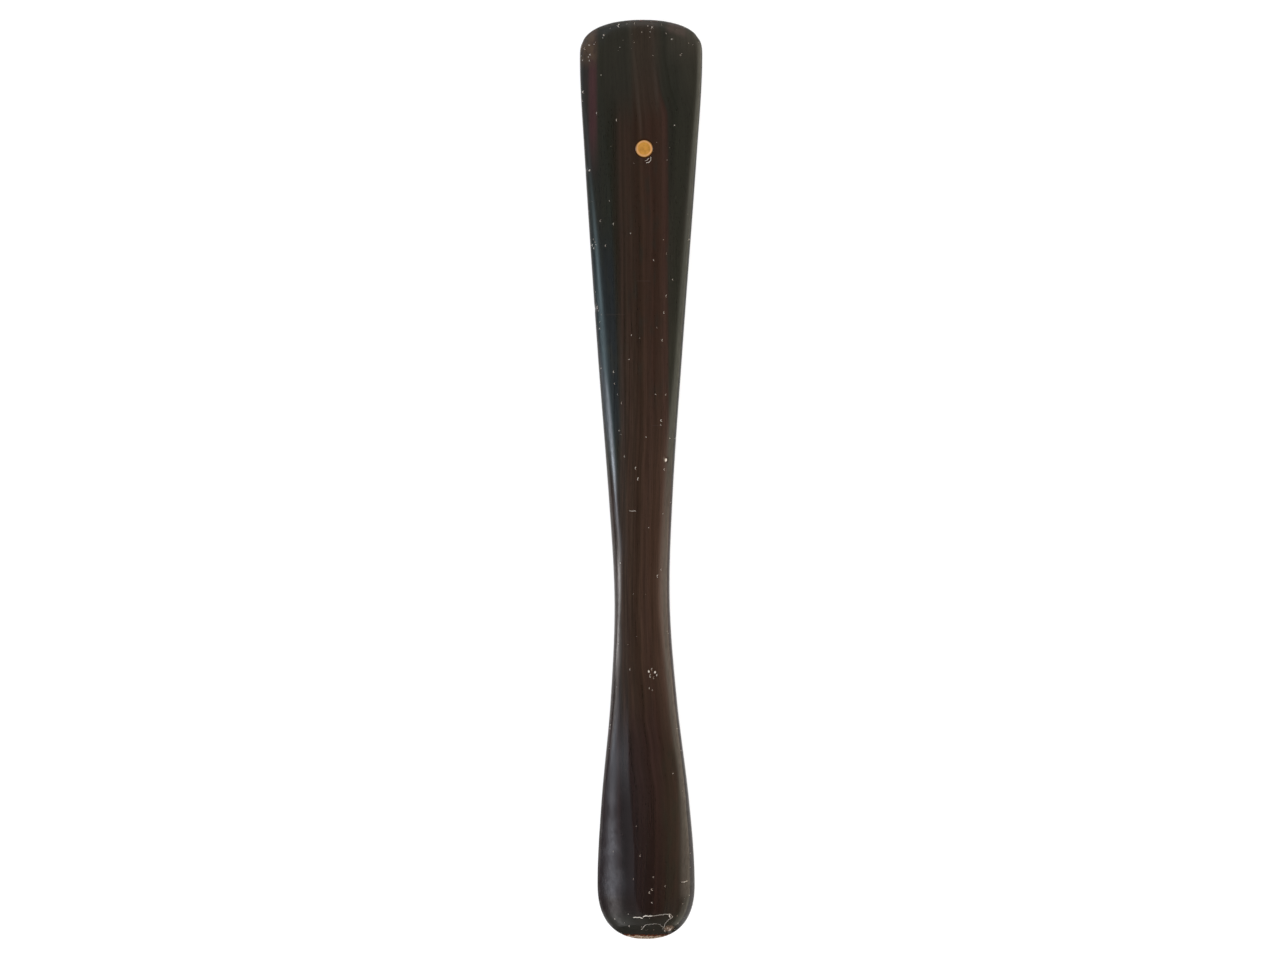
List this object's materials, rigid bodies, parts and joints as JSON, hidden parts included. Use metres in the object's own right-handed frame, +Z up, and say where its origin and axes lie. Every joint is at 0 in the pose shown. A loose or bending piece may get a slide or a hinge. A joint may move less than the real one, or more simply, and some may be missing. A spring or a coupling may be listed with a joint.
{
  "type": "long shoehorn",
  "caption": "Long wooden shoehorn: a flat flared handle with a flush brass pin, a narrow rounded waist and a broad hollowed blade.",
  "frame": {"origin": "on the resting face, under the middle of the length and the width", "axes": "+Y along the length, from the blade's tip to the end of the handle; +X to the right, seen from above with the handle away; +Z up, from the resting face to the back of the blade"},
  "size_m": [0.0508, 0.38, 0.011],
  "materials": {
    "lacquered_wood": "dark rosewood under worn clear lacquer",
    "brass": "aged brass, ground flush and left dull"
  },
  "bodies": {
    "root": {"wooden_body": "lacquered_wood", "brass_pin": "brass"}
  },
  "joints": []
}
